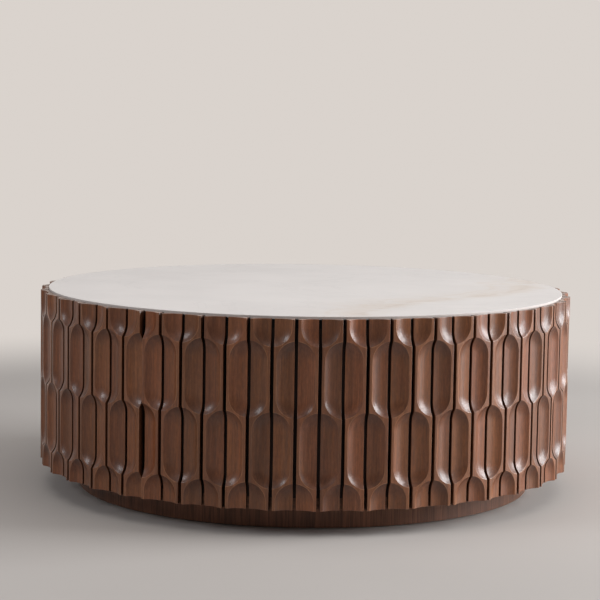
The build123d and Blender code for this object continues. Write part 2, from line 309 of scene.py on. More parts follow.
class SlatShape:
    """The sizes of a slat, worked out from the settings and the frame."""

    def __init__(self, settings):
        low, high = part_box("left_hand_slats_1")
        self.bottom = low.z
        self.top = high.z
        self.middle = (low.z + high.z) / 2.0
        self.thickness = settings.thickness
        self.face_radius = node_radius("top_deck") + settings.thickness
        self.pitch = 2.0 * math.pi / (HALF_COUNT * settings.slats_per_half)
        self.gap_middle = self.face_radius * math.tan(self.pitch / 2.0)
        self.half_width = self.gap_middle - settings.gap / 2.0
        self.arris = settings.arris
        self.end_arris = settings.end_arris
        self.flat_edge = self.half_width - settings.arris
        self.flat_top = self.top - settings.end_arris
        self.flat_bottom = self.bottom + settings.end_arris
        self.support = SUPPORT * settings.arris
        self.end_support = END_SUPPORT * settings.end_arris
        self.straight = settings.hollow_length / 2.0 - settings.hollow_radius
        self.row_pitch = settings.hollow_length - settings.hollow_overlap
        self.edge = self.gap_middle - self.flat_edge
        self.profile = self.hollow_profile(settings)

    def hollow_profile(self, settings):
        """(distance from the middle of the gap, depth, steepness) across half a hollow, to its rim."""
        depth = settings.hollow_depth
        run = settings.hollow_radius - settings.floor_radius
        side = (run**2 + depth**2) / (2.0 * depth)
        stand = side - depth
        rim = settings.rim_radius
        reach = math.sqrt((side + rim) ** 2 - (stand + rim) ** 2)
        slope = math.asin(reach / (side + rim))
        points = [(self.edge, depth, 0.0), (self.edge + self.support, depth, 0.0)]
        for i in range(SIDE_STEPS + 1):
            angle = slope * i / SIDE_STEPS
            distance = settings.floor_radius + side * math.sin(angle)
            points.append((distance, side * math.cos(angle) - stand, i / SIDE_STEPS))
        for i in range(1, RIM_STEPS + 1):
            angle = slope * (1.0 - i / RIM_STEPS)
            distance = settings.floor_radius + reach - rim * math.sin(angle)
            points.append((distance, rim * (1.0 - math.cos(angle)), 1.0 - i / RIM_STEPS))
        return points


class Hollow:
    """One carved half hollow on an edge of a slat. Its stations run round it, from top to bottom."""

    def __init__(self, shape, side, row):
        self.shape = shape
        self.side = side
        self.level = shape.middle + ((ROW_COUNT - 1) / 2.0 - row) * shape.row_pitch
        self.open_top = self.level + shape.straight > shape.top
        self.open_bottom = self.level - shape.straight < shape.bottom
        if self.open_top:
            upper = [("end", shape.flat_top), ("end", shape.flat_top - shape.end_support)]
        else:
            upper = self.round_end("up")[::-1]
        if self.open_bottom:
            lower = [("end", shape.flat_bottom + shape.end_support), ("end", shape.flat_bottom)]
        else:
            lower = self.round_end("down")
        self.stations = upper + lower

    def round_end(self, way):
        return [(way, step) for step in range(END_STEPS + 1)]

    def turn(self, distance, station):
        """How far round the hollow's end a point at this distance from its middle line lies."""
        kind, value = station
        if kind == "end":
            return 0.0
        if value == END_STEPS:
            return math.acos(min(1.0, self.shape.edge / distance))
        supported = (self.shape.edge + self.shape.support) / distance
        return math.acos(min(1.0, supported)) * value / (END_STEPS - 1)

    def point(self, distance, station):
        """(across, up) of the point at a distance from the hollow's middle line."""
        kind, value = station
        if kind == "end":
            return self.side * (self.shape.gap_middle - distance), value
        angle = self.turn(distance, station)
        across = self.side * (self.shape.gap_middle - distance * math.cos(angle))
        rise = self.shape.straight + distance * math.sin(angle)
        return across, self.level + (rise if kind == "up" else -rise)

    def rim(self):
        """The outline of the hollow on the slat's face, from its top to its bottom."""
        distance = self.shape.profile[-1][0]
        return [self.point(distance, station) for station in self.stations]

    def mouth(self):
        """(up, depth) along the slat's edge, from the hollow's top to its bottom."""
        rings = self.shape.profile
        floor = rings[0][1]
        if self.open_top:
            first = [(level, floor) for _, level in self.stations[:2]]
        else:
            first = [(self.point(r, self.stations[0])[1], depth) for r, depth, _ in rings[::-1]]
        if self.open_bottom:
            last = [(level, floor) for _, level in self.stations[-2:]]
        else:
            last = [(self.point(r, self.stations[-1])[1], depth) for r, depth, _ in rings]
        return first + last


class SlatBuilder:
    """Builds one slat at the front of the drum, with values that say how each point of it was cut, and
    where painted shade and a painted glint go.
    """

    def __init__(self, shape, top_side):
        self.shape = shape
        self.surface = Surface(("ridge", "end_grain", "gap_shade", "cross_cut", "worn_and_glint"))
        sides = [top_side if row % 2 == 0 else -top_side for row in range(ROW_COUNT)]
        self.hollows = [Hollow(shape, side, row) for row, side in enumerate(sides)]

    def vertex(self, across, depth, up, ridge=0.0, end_grain=0.0, gap_shade=0.0, cross_cut=0.0, worn_and_glint=0.0):
        place = (across, depth - self.shape.face_radius, up)
        return self.surface.vertex(place, (ridge, end_grain, gap_shade, cross_cut, worn_and_glint))

    def on_side(self, side):
        return [hollow for hollow in self.hollows if hollow.side == side]

    def down_side(self, side, hollow_points, corner):
        """Points down one side: those of its hollows, with a corner at each end that no hollow opens."""
        hollows = self.on_side(side)
        points = [] if hollows[0].open_top else [corner(self.shape.flat_top)]
        for hollow in hollows:
            points += hollow_points(hollow)
        if not hollows[-1].open_bottom:
            points.append(corner(self.shape.flat_bottom))
        return points

    def carve(self, hollow):
        rim_start = len(self.shape.profile) - RIM_STEPS
        rings = []
        for i, (distance, depth, steepness) in enumerate(self.shape.profile):
            ridge = 1.0 if i >= rim_start else 0.0
            ring = []
            for station in hollow.stations:
                across, up = hollow.point(distance, station)
                # Darkens the steep ends of the hollows: end grain soaks up stain, and painted shade makes
                # the upper ends darker than the lower ones
                cross_cut = steepness * math.sin(hollow.turn(distance, station))
                if station[0] == "down":
                    cross_cut *= LOWER_SOAK_AND_SHADE
                ring.append(self.vertex(across, depth, up, ridge, cross_cut=cross_cut, worn_and_glint=ridge))
            rings.append(ring)
        self.surface.strips(rings)

    def edge_run(self, side):
        """(across, up) down one side of the uncut face, round the hollows that cut into it."""
        return self.down_side(side, Hollow.rim, lambda up: (side * self.shape.flat_edge, up))

    def leave_ridge(self):
        """The uncut face between the hollows, with a narrow band round it that keeps its edges crisp."""
        outline = self.edge_run(1) + self.edge_run(-1)[::-1]
        outer = [self.vertex(across, 0.0, up, 1.0, worn_and_glint=1.0) for across, up in outline]
        inner = [self.vertex(across, 0.0, up, 1.0) for across, up in inset(outline, self.shape.support)]
        self.surface.strip(outer, inner, closed=True)
        self.surface.face(inner)

    def close_side(self, side):
        """The rounded edge and the flat side of the slat. Returns that side's edge at the slat's back."""
        shape = self.shape
        step = ARRIS_MIDDLE * shape.arris
        rows = [[], [], [], []]
        for up, depth in self.down_side(side, Hollow.mouth, lambda up: (up, 0.0)):
            rows[0].append(self.vertex(side * shape.flat_edge, depth, up, 1.0))
            rows[1].append(self.vertex(side * (shape.half_width - step), depth + step, up, 1.0, worn_and_glint=1.0))
            # The flat side lies in the gap: painted shade, strongest at the slat's back
            rows[2].append(self.vertex(side * shape.half_width, depth + shape.arris, up, 0.3, gap_shade=0.6))
            rows[3].append(self.vertex(side * shape.half_width, shape.thickness, up, gap_shade=1.0))
        self.surface.strips(rows)
        return rows[3]

    def section(self, at_top):
        """(across, depth) round the slat at one of its ends, clockwise from its left back corner."""
        shape = self.shape
        outline = []
        for side in (-1, 1):
            hollow = self.on_side(side)[0 if at_top else -1]
            is_open = hollow.open_top if at_top else hollow.open_bottom
            if is_open:
                run = [(side * (shape.gap_middle - r), depth) for r, depth, _ in shape.profile]
            else:
                run = [(side * shape.flat_edge, 0.0)]
            depth = run[0][1]
            step = ARRIS_MIDDLE * shape.arris
            corner = [
                (side * shape.half_width, shape.thickness),
                (side * shape.half_width, depth + shape.arris),
                (side * (shape.half_width - step), depth + step),
            ]
            outline += (corner + run) if side < 0 else (corner + run)[::-1]
        return outline

    def close_end(self, at_top):
        """The end of the slat, with rounded edges."""
        shape = self.shape
        outline = self.section(at_top)
        way = 1.0 if at_top else -1.0
        base = shape.flat_top if at_top else shape.flat_bottom
        lean = shape.end_arris * (1.0 - ARRIS_MIDDLE)
        low = shape.end_arris * ARRIS_MIDDLE
        mirrored = [(across, -depth) for across, depth in outline]
        rows = [[self.vertex(across, depth, base) for across, depth in outline]]
        for amount, rise, end_grain in ((low, lean, 0.5), (shape.end_arris, shape.end_arris, 1.0)):
            points = inset(mirrored, amount)
            rows.append([self.vertex(x, -y, base + way * rise, 0.0, end_grain) for x, y in points])
        self.surface.strips(rows, closed=True)
        self.surface.face(rows[-1])

    def build(self, name):
        for hollow in self.hollows:
            self.carve(hollow)
        self.leave_ridge()
        left_back = self.close_side(-1)
        right_back = self.close_side(1)
        self.surface.face(left_back + right_back[::-1])
        self.close_end(at_top=True)
        self.close_end(at_top=False)
        mesh = self.surface.mesh(name)
        store_plank_places(mesh, self.shape)
        return mesh


def store_plank_places(mesh, shape):
    """Keeps each point's place on its own slat, across, inwards and up, for the grain to follow."""
    attribute = mesh.attributes.new("plank_place", "FLOAT_VECTOR", "POINT")
    for vertex, value in zip(mesh.vertices, attribute.data):
        value.vector = vertex.co + Vector((0.0, shape.face_radius, -shape.middle))


# Screws and studs


def cross_outline(length, width):
    """The corners of a cross, anticlockwise from just below the +X axis."""
    corners = []
    for quarter in range(4):
        turn = Matrix.Rotation(quarter * math.pi / 2.0, 2)
        corners += [turn @ Vector(point) for point in ((length, -width), (length, width), (width, width))]
    return corners


def screw_mesh(name, settings, head_profile, length):
    """A screw that points up, with a cross recess in the face of its head at the level 0."""
    surface = Surface()
    shank = settings.shank_radius
    end = [(shank, length - TIP_LENGTH * shank), (TIP_RADIUS * shank, length), (0.0, length)]
    add_rings(surface, head_profile + end, HEAD_STEPS)
    rim = [surface.vertex(place) for place in circle(*head_profile[0], HEAD_STEPS)]
    mouth = cross_outline(settings.recess_length, settings.recess_width)
    outer = [surface.vertex((*corner, 0.0)) for corner in mouth]
    inner = [surface.vertex((*(RECESS_FLOOR * corner), settings.recess_depth)) for corner in mouth]
    surface.strip(outer, inner, closed=True)
    surface.face(inner)
    # Each side of the cross faces this many steps of the rim
    share = HEAD_STEPS // CROSS_SIDES
    for side in range(CROSS_SIDES):
        near_rim = [rim[(share * side - 1 + step) % HEAD_STEPS] for step in range(share + 1)]
        surface.face([outer[(side + 1) % CROSS_SIDES], outer[side]] + near_rim)
    return surface.mesh(name, SHARP_ANGLE)


def solid_places(node):
    """The lowest middle point of each separate solid of a CAD node."""
    merged = bmesh.new()
    merged.from_mesh(frame["nodes"][node].data)
    bmesh.ops.remove_doubles(merged, verts=merged.verts, dist=MERGE_DISTANCE)
    waiting = set(merged.verts)
    places = []
    while waiting:
        found = [waiting.pop()]
        for vertex in found:
            for edge in vertex.link_edges:
                other = edge.other_vert(vertex)
                if other in waiting:
                    waiting.remove(other)
                    found.append(other)
        spans = [(min(v.co[axis] for v in found), max(v.co[axis] for v in found)) for axis in range(3)]
        places.append((sum(spans[0]) / 2.0, sum(spans[1]) / 2.0, spans[2][0]))
    merged.free()
    return sorted(places)


class StudShape:
    """A levelling stud: its spigot, its six-sided collar and its right-hand thread."""

    def __init__(self, settings, foot):
        low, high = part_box(f"foot_stud_{foot}")
        self.settings = settings
        self.middle = (low + high) / 2.0
        self.bottom = low.z
        self.top = high.z
        self.collar_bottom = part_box(f"foot_pad_{foot}")[1].z + settings.play
        self.collar_top = self.collar_bottom + settings.collar_height
        self.first_corner = place_angle(self.middle)

    def place(self, radius, turn, height):
        turn += self.first_corner
        return self.middle.x + radius * math.cos(turn), self.middle.y + radius * math.sin(turn), height

    def collar_radius(self, turn):
        """From the axis to the side of the collar, whose first corner is at the turn 0."""
        from_flat = turn % (math.pi / 3.0) - math.pi / 6.0
        return self.settings.collar_half_width / math.cos(from_flat)

    def collar(self, surface):
        """Rings round the spigot and the collar, whose corners are chamfered as on a nut."""
        spigot = self.settings.spigot_radius
        ease = SPIGOT_EASE * spigot
        face = COLLAR_FACE * self.settings.collar_half_width
        columns = []
        for step, turn in enumerate(turns(STUD_STEPS)):
            side = self.collar_radius(turn)
            chamfer = (side - face) * CHAMFER
            points = (
                (0.0, self.bottom),
                (spigot - ease, self.bottom),
                (spigot, self.bottom + ease),
                (spigot, self.collar_bottom),
                (face, self.collar_bottom),
                (side, self.collar_bottom + chamfer),
                (side, self.collar_top - chamfer),
                (face, self.collar_top),
            )
            column = [surface.vertex(self.place(radius, turn, height)) for radius, height in points]
            columns.append(column + [surface.vertex(self.thread_place(step, self.collar_top))])
        surface.strips(columns + columns[:1])

    def thread_place(self, step, height):
        """The point of the thread at a step round the stud, held between the collar and the tip."""
        settings = self.settings
        height = min(max(height, self.collar_top), self.top)
        turn = 2.0 * math.pi * step / STUD_STEPS
        climb = (height - self.collar_top) / settings.thread_pitch
        phase = (climb - step / STUD_STEPS) % 1.0
        groove = 1.0 - abs(2.0 * phase - 1.0)
        groove = min(max((groove - THREAD_FLAT) / (1.0 - 2.0 * THREAD_FLAT), 0.0), 1.0)
        depth = min(1.0, climb / NECK) * groove * settings.thread_depth
        tip = settings.stud_radius - TIP_DEPTH * settings.thread_depth + (self.top - height)
        return self.place(min(settings.stud_radius - depth, tip), turn, height)

    def thread(self, surface):
        """Columns of vertices that climb with the thread, so that its crests stay whole."""
        pitch = self.settings.thread_pitch
        rows = math.ceil((self.top - self.collar_top) / pitch * THREAD_STEPS)
        columns = []
        for step in range(STUD_STEPS + 1):
            turns_up = [row / THREAD_STEPS + step / STUD_STEPS for row in range(-THREAD_STEPS, rows + 1)]
            heights = [self.collar_top + pitch * turn for turn in turns_up]
            columns.append([surface.vertex(self.thread_place(step, height)) for height in heights])
        surface.strips(columns)
        surface.face([surface.vertex(self.thread_place(i, self.top)) for i in range(STUD_STEPS)])

    def mesh(self, name):
        surface = Surface()
        self.collar(surface)
        self.thread(surface)
        return surface.mesh(name, SHARP_ANGLE)


# Nodes


def add_node(tree, kind, inputs=None, **settings):
    """A new node. Its inputs are given by name or number, as plain numbers or as other nodes' values."""
    made = tree.nodes.new(kind)
    for name, value in settings.items():
        setattr(made, name, value)
    for key, value in (inputs or {}).items():
        if isinstance(value, Value):
            tree.links.new(value.socket, made.inputs[key])
        else:
            made.inputs[key].default_value = value
    return made


class Value:
    """What a node puts out. Arithmetic with it adds the nodes that work out the result."""

    def __init__(self, socket):
        self.socket = socket
        self.tree = socket.id_data

    def through(self, kind, inputs=None, output=0, **settings):
        """What a new node makes of this value, which goes into its first input."""
        node = add_node(self.tree, kind, {0: self, **(inputs or {})}, **settings)
        return Value(node.outputs[output])

    def math(self, operation, *others):
        return self.through("ShaderNodeMath", dict(enumerate(others, 1)), operation=operation)

    def __add__(self, other):
        return self.math("ADD", other)

    def __sub__(self, other):
        return self.math("SUBTRACT", other)

    def __mul__(self, other):
        return self.math("MULTIPLY", other)

    def __abs__(self):
        return self.math("ABSOLUTE")

    def scaled(self, factors):
        return self.through("ShaderNodeVectorMath", {1: factors}, operation="MULTIPLY")

    def moved(self, offset):
        return self.through("ShaderNodeVectorMath", {1: offset}, operation="ADD")

    def length(self):
        return self.through("ShaderNodeVectorMath", output="Value", operation="LENGTH")

    def parts(self):
        """Its X, Y and Z."""
        return list(values_of(add_node(self.tree, "ShaderNodeSeparateXYZ", {0: self})).values())

    def noise(self, scale, detail=2.0, roughness=0.5, distortion=0.0):
        """Noise at this place."""
        inputs = {"Scale": scale, "Detail": detail, "Roughness": roughness, "Distortion": distortion}
        return self.through("ShaderNodeTexNoise", inputs)

    def stretch(self, low, high, to_low=0.0, to_high=1.0):
        """This value taken from one range to another, and held inside it."""
        limits = {1: low, 2: high, 3: to_low, 4: to_high}
        return self.through("ShaderNodeMapRange", limits, interpolation_type="SMOOTHSTEP")

    def fade(self, low, high):
        """1 up to the low limit, and down to 0 at the high one."""
        return self.stretch(low, high, 1.0, 0.0)

    def mix(self, first, second):
        """The first colour, turning into the second as this value rises."""
        return self.through("ShaderNodeMix", {6: first, 7: second}, 2, data_type="RGBA")

    def toned(self, brightness):
        """This colour, brighter or darker."""
        node = add_node(self.tree, "ShaderNodeHueSaturation", {"Color": self, "Value": brightness})
        return Value(node.outputs[0])


def values_of(node):
    """What a node puts out, by name."""
    return {socket.name: Value(socket) for socket in node.outputs}


def source(tree, kind, output=0, **settings):
    """What a node without inputs puts out."""
    return Value(add_node(tree, kind, **settings).outputs[output])


def joined(x, y, z=0.0):
    """The vector of three parts."""
    return x.through("ShaderNodeCombineXYZ", {1: y, 2: z})


def new_tree(name, kind, inputs, outputs):
    """A node tree whose inputs and outputs are of these kinds, and what comes in, by name."""
    tree = bpy.data.node_groups.new(name, kind)
    for way, sockets in (("INPUT", inputs), ("OUTPUT", outputs)):
        for socket_name, socket_kind in sockets.items():
            tree.interface.new_socket(socket_name, in_out=way, socket_type="NodeSocket" + socket_kind)
    return tree, values_of(add_node(tree, "NodeGroupInput"))


# Geometry node trees

GEOMETRY_OUT = {"Geometry": "Geometry"}


def random_value(index, seed):
    """A number from 0 to 1 for each index."""
    node = add_node(index.tree, "FunctionNodeRandomValue", {"ID": index, "Seed": seed}, data_type="FLOAT")
    return Value(node.outputs[1])


def upright_turn(angle):
    """The rotation by an angle about Z."""
    node = add_node(angle.tree, "ShaderNodeCombineXYZ", {"Z": angle})
    return Value(node.outputs[0])


def copies(points, piece, turn, **selection):
    """A copy of an object at each of the points, or of those in the selection."""
    copied = piece.through("GeometryNodeObjectInfo", output="Geometry")
    inputs = {"Instance": copied, "Rotation": turn, **selection}
    return points.through("GeometryNodeInstanceOnPoints", inputs)


def finish_tree(geometry, material):
    """Makes the copies plain geometry with a material, and puts it out."""
    finished = geometry.through("GeometryNodeRealizeInstances")
    finished = finished.through("GeometryNodeSetMaterial", {"Material": material})
    add_node(geometry.tree, "NodeGroupOutput", {"Geometry": finished})


def slat_ring_tree():
    """Slats round one half of the drum, the hands in turn, each with its own tone and grain."""
    inputs = {
        "Left-Hand Slat": "Object",
        "Right-Hand Slat": "Object",
        "Slats": "Int",
        "First Angle": "Float",
        "Pitch": "Float",
        "Seed": "Int",
        "Wood": "Material",
    }
    tree, given = new_tree("Slat Ring", "GeometryNodeTree", inputs, GEOMETRY_OUT)
    index = source(tree, "GeometryNodeInputIndex")
    points = given["Slats"].through("GeometryNodePoints")
    for offset, name in enumerate(("slat_tone", "slat_grain")):
        stored = {"Name": name, "Value": random_value(index, given["Seed"] + offset)}
        points = points.through(
            "GeometryNodeStoreNamedAttribute", stored, data_type="FLOAT", domain="POINT"
        )
    turn = upright_turn(index.math("MULTIPLY_ADD", given["Pitch"], given["First Angle"]))
    ring = add_node(tree, "GeometryNodeJoinGeometry")
    # The first slat of a half is a left-hand one
    for shift, name in ((1.0, "Left-Hand Slat"), (0.0, "Right-Hand Slat")):
        chosen = (index + shift).math("MODULO", 2.0)
        slats = copies(points, given[name], turn, Selection=chosen)
        tree.links.new(slats.socket, ring.inputs[0])
    finish_tree(Value(ring.outputs[0]), given["Wood"])
    return tree


def copies_tree():
    """A copy of one piece at each vertex of a mesh, each turned about its own axis."""
    inputs = {"Places": "Geometry", "Piece": "Object", "Seed": "Int", "Material": "Material"}
    tree, given = new_tree("Copies At Points", "GeometryNodeTree", inputs, GEOMETRY_OUT)
    index = source(tree, "GeometryNodeInputIndex")
    turn = upright_turn(random_value(index, given["Seed"]) * (2.0 * math.pi))
    finish_tree(copies(given["Places"], given["Piece"], turn), given["Material"])
    return tree


def plain_mesh_of(name, tree, values, start=None):
    """The mesh that a geometry node tree makes with these input values."""
    maker = new_piece(name + "_maker", start or bpy.data.meshes.new(name + "_start"))
    modifier = maker.modifiers.new("Nodes", "NODES")
    modifier.node_group = tree
    for item in tree.interface.items_tree:
        if item.item_type == "SOCKET" and item.in_out == "INPUT" and item.name in values:
            modifier[item.identifier] = values[item.name]
    bpy.context.view_layer.update()
    graph = bpy.context.evaluated_depsgraph_get()
    mesh = bpy.data.meshes.new_from_object(maker.evaluated_get(graph))
    mesh.name = name
    maker.modifiers.remove(modifier)
    bpy.data.objects.remove(maker)
    if not mesh.vertices:
        raise RuntimeError(f"{name} came out empty")
    return mesh


# Shader node groups

FIBRE = "Wood Fibre"
SPECKLE = "Uneven Finish"
ALONG_FIBRES = (1.0, 1.0, 0.035)  # stretches a pattern along the grain
ALONG_PORES = (1.0, 1.0, 0.05)


def make_fibre_group():
    """Long wood fibres that run up: bands of tone, fine streaks, open pores, and how they stand."""
    inputs = {"Place": "Vector", "Streaks Per Metre": "Float"}
    outputs = dict.fromkeys(("Band", "Streak", "Pore", "Height"), "Float")
    group, given = new_tree(FIBRE, "ShaderNodeTree", inputs, outputs)
    count = given["Streaks Per Metre"]
    long_place = given["Place"].scaled(ALONG_FIBRES)
    streak = long_place.noise(count, detail=4.0, roughness=0.65)
    pore = given["Place"].scaled(ALONG_PORES).noise(count * 4.0, detail=1.0).stretch(0.62, 0.72)
    made = {
        "Band": long_place.noise(count * 0.16, detail=3.0, roughness=0.55, distortion=0.4),
        "Streak": streak,
        "Pore": pore,
        "Height": streak * 0.4 - pore,
    }
    add_node(group, "NodeGroupOutput", made)


def make_speckle_group():
    """Soft uneven patches and fine dust that keep a plain finish from looking flat."""
    inputs = {"Place": "Vector", "Patches Per Metre": "Float"}
    group, given = new_tree(SPECKLE, "ShaderNodeTree", inputs, {"Patch": "Float", "Grain": "Float"})
    count = given["Patches Per Metre"]
    patch = given["Place"].noise(count, detail=3.0, roughness=0.6)
    grain = given["Place"].noise(count * 90.0, detail=2.0, roughness=0.6)
    add_node(group, "NodeGroupOutput", {"Patch": patch, "Grain": grain})


def pattern(name, place, per_metre):
    """What a shared group puts out at a place, with this many of its marks in a metre."""
    group = bpy.data.node_groups[name]
    return values_of(add_node(place.tree, "ShaderNodeGroup", {0: place, 1: per_metre}, node_tree=group))


# Materials

MATERIAL_NAMES = {}  # of the record's material slots, once the finishes are made

# The walnut's growth rings. Their hearts lie behind the slats
RING_SPACING = 0.0042
RING_WANDER = 0.05  # how far the rings stray across
HEART_ACROSS = 0.10  # how far the hearts are spread across
HEART_DEPTH = 0.045  # from a slat's face to the nearest heart
HEART_INWARDS = 0.05  # how far the hearts are spread inwards

# The stone's vein. The X of its middle is its lean times Y, and what its bend adds
VEIN_LEAN = 0.25
VEIN_BEND = (-0.37, 0.0)  # the Y where the bend begins and where it ends
VEIN_ACROSS = (0.236, 0.442)  # what the bend adds to X before it and after it
VEIN_SWAY = 0.09  # how far slow turns carry the vein
VEIN_FLUTTER = 0.05  # how far quick turns carry it
VEIN_BAND = (0.004, 0.066)  # from the vein's middle to where its soft band begins to fade, and ends
VEIN_CORE = 0.012  # from the vein's middle to where its dark core ends
STRAND_SWAY = 0.13  # how far the thinner strand leaves the vein
STRAND_WIDTH = 0.016
HALO_START = (-0.20, -0.03)  # from the vein's middle to where the tint at its left begins, and is whole
HALO_END = 0.04
THREAD_WIDTH = 0.012  # in the noise that the threads follow
SHADED_EDGE = (0.0006, 0.0001)  # below the stone's top: where the painted shade on its edge is whole, and where it ends

PLY_THICKNESS = 0.0014
PLY_EDGE = (0.0006, 0.0009)  # where one ply's tone turns into the next one's

# Colours, in pairs where one turns into the other
# The slats' ends: end grain, turned pale grey-tan by a painted reflection of the pale surroundings
END_GRAIN_AND_REFLECTION = ((0.25, 0.17, 0.135, 1.0), (0.38, 0.28, 0.235, 1.0))
# Painted shade on the slats' sides in the gaps
GAP_SHADE = (0.030, 0.011, 0.007, 1.0)
BIRCH = ((0.52, 0.36, 0.21, 1.0), (0.66, 0.49, 0.31, 1.0))
BIRCH_ACROSS = (0.33, 0.20, 0.11, 1.0)
ZINC = ((0.50, 0.50, 0.48, 1.0), (0.66, 0.66, 0.62, 1.0))


class Finish:
    """A new material with one Principled BSDF."""

    def __init__(self, name, **plain):
        self.material = bpy.data.materials.new(name)
        self.material.use_nodes = True
        self.tree = self.material.node_tree
        self.shader = self.tree.nodes["Principled BSDF"]
        for key, value in plain.items():
            name = key.replace("_", " ").title().replace("Ior", "IOR")
            self.shader.inputs[name].default_value = value

    def place(self):
        return source(self.tree, "ShaderNodeTexCoord", "Object")

    def attribute(self, name, output="Fac"):
        return source(self.tree, "ShaderNodeAttribute", output, attribute_name=name)

    def feed(self, name, value):
        self.tree.links.new(value.socket, self.shader.inputs[name])

    def bump(self, height, distance, strength):
        inputs = {"Height": height, "Distance": distance, "Strength": strength}
        self.feed("Normal", Value(add_node(self.tree, "ShaderNodeBump", inputs).outputs[0]))


def rgba(colour, strength=1.0):
    return (*(strength * channel for channel in colour), 1.0)


def varied(colour, factors):
    """A colour with each of its channels multiplied by its own factor."""
    return rgba([channel * factor for channel, factor in zip(colour, factors)])


def growth_rings(place, tone, grain):
    """Rings round a heart that lies behind the slat and a little to one side, cut open by the hollows."""
    across, inwards, _ = place.parts()
    heart_across = grain * HEART_ACROSS - HEART_ACROSS / 2.0
    heart_inwards = tone * HEART_INWARDS + HEART_DEPTH
    wander = place.scaled((4.0, 4.0, 2.2)).noise(1.0)
    across = across - heart_across + wander * RING_WANDER
    radius = joined(across, inwards - heart_inwards).length()
    phase = radius * (2.0 * math.pi / RING_SPACING)
    return phase.math("SINE") * 0.5 + 0.5


def walnut_finish(colours):
    """Carved walnut: growth rings cut by the hollows, fibres, paler ridges, end grain with a painted
    reflection, hollow ends that soak up stain and take painted shade, rims sanded thin with a painted
    glint, and painted shade in the gaps.
    """
    finish = Finish("slat_walnut", specular_ior_level=0.42, coat_roughness=0.21)
    place = finish.attribute("plank_place", "Vector")
    tone = finish.attribute("slat_tone")
    grain = finish.attribute("slat_grain")
    end_grain = finish.attribute("end_grain")
    own_place = place.moved(joined(grain, tone, grain).scaled((3.0, 2.0, 5.0)))
    fibre = pattern(FIBRE, own_place, per_metre=650.0)
    long_place = own_place.scaled((1.0, 1.0, 0.3))
    mottle = long_place.noise(30.0, roughness=0.6)
    flake = long_place.noise(260.0, roughness=0.7)
    sanding = own_place.scaled((1.0, 1.0, 0.02)).noise(380.0, detail=3.0, roughness=0.7)

    # Each slat leans towards one of two tones
    redder = varied(colours.walnut, (1.0, 0.965, 1.0))
    browner = varied(colours.walnut, (0.98, 1.04, 0.96))
    body = (grain * 0.5 + mottle).stretch(0.45, 1.05).mix(redder, browner)
    dark = rgba(colours.walnut, 0.5)
    body = (growth_rings(place, tone, grain) * 0.18).mix(body, dark)
    body = fibre["Streak"].stretch(0.42, 0.72, 0.0, 0.6).mix(body, dark)
    ridge = finish.attribute("ridge") * fibre["Band"].stretch(0.2, 0.6, 0.15, 0.5)
    body = ridge.mix(body, rgba(colours.ridge))
    # The hollows' ends darken: end grain soaks up stain, and painted shade lies on the upper ends, which
    # face down
    soak_and_shade = finish.attribute("cross_cut").math("POWER", 0.7) * mottle.stretch(0.2, 0.6, 0.6, 0.95)
    body = soak_and_shade.mix(body, rgba(colours.soak_and_shade))
    # Lighter rims: stain sanded thin, and a painted glint along the rounded rims
    worn_and_glint = finish.attribute("worn_and_glint") * mottle.stretch(0.35, 0.65, 0.05, 0.65)
    body = worn_and_glint.mix(body, rgba(colours.worn_and_glint))
    body = (fibre["Pore"] * 0.4).mix(body, rgba(colours.walnut, 0.3))
    # End grain at the slats' ends, with a painted reflection of the pale surroundings
    body = end_grain.mix(body, fibre["Band"].mix(*END_GRAIN_AND_REFLECTION))
    # Painted shade on the slats' sides, down in the gaps
    body = finish.attribute("gap_shade").mix(body, GAP_SHADE)

    banding = fibre["Band"].stretch(0.3, 0.7) * 0.35 + 0.83
    brightness = banding * (tone * 0.36 + 0.82) * flake.stretch(0.25, 0.75, 0.86, 1.14)
    finish.feed("Base Color", body.toned(brightness))
    finish.feed("Roughness", fibre["Streak"] * 0.20 + 0.34 + end_grain * 0.25)
    finish.feed("Coat Weight", sanding.stretch(0.35, 0.65, 0.16, 0.52))
    finish.bump(fibre["Height"], distance=0.00012, strength=0.5)
    return finish.material


def laid_down(place):
    """The place with its X and Z changed over, for wood whose fibres run along X."""
    x, y, z = place.parts()
    return joined(z, y, x)


def veneer_finish(name, colour, streaks, roughness, leaf_width=None, upright=True, shine=0.3):
    """Stained wood. Leaves of veneer, where it has them, differ a little in tone."""
    finish = Finish(name, specular_ior_level=shine)
    place = finish.place()
    fibre = pattern(FIBRE, place if upright else laid_down(place), per_metre=streaks)
    body = fibre["Band"].stretch(0.3, 0.7).mix(rgba(colour, 0.75), rgba(colour, 1.2))
    body = fibre["Streak"].stretch(0.42, 0.66, 0.0, 0.75).mix(body, rgba(colour, 0.35))
    if leaf_width:
        x, y, _ = place.parts()
        leaf = y.math("ARCTAN2", x).math("DIVIDE", leaf_width).math("FLOOR")
        tone = add_node(finish.tree, "ShaderNodeTexWhiteNoise", {"W": leaf}, noise_dimensions="1D")
        body = body.toned(Value(tone.outputs[0]) * 0.35 + 0.82)
    finish.feed("Base Color", body)
    finish.feed("Roughness", fibre["Streak"] * 0.2 + (roughness - 0.1))
    finish.bump(fibre["Height"], distance=0.0001, strength=0.5)
    return finish.material


